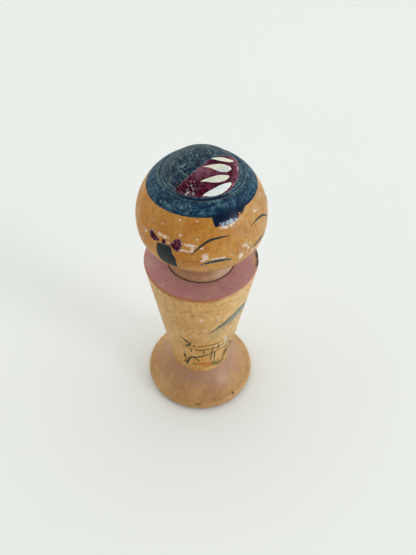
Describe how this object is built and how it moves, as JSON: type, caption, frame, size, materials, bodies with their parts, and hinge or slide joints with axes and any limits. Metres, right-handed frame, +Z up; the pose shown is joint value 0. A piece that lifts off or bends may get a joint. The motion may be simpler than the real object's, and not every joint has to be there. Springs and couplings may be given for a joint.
{
  "type": "kokeshi doll",
  "caption": "Turned wooden doll with a ball head and dome-shaped bun on a neck spindle, which turns in a tapered body standing on a flared round foot.",
  "frame": {"origin": "centre of the flat underside of the foot", "axes": "+Z up along the doll's own turning axis, -Y the way the face looks"},
  "size_m": [0.047, 0.047, 0.1219],
  "materials": {
    "head_lacquered_wood": "amber lacquer over pale wood, painted hair, bun and face, satin, worn",
    "neck_bare_wood": "bare turned wood, greyed, matt",
    "body_lacquered_wood": "amber lacquer, dusty mauve stain on the top face, painted landscape, satin, worn",
    "foot_stained_wood": "amber lacquer with a mauve-brown stain fading towards the rim, satin, chipped"
  },
  "bodies": {
    "body": {"body": "body_lacquered_wood", "foot": "foot_stained_wood"},
    "head": {"head": "head_lacquered_wood", "neck": "neck_bare_wood"}
  },
  "joints": [
    {"name": "head_turn", "type": "hinge", "parent": "body", "child": "head", "pos_m": [0, 0, 0.0743], "axis": [0, 0, 1], "continuous": true}
  ]
}
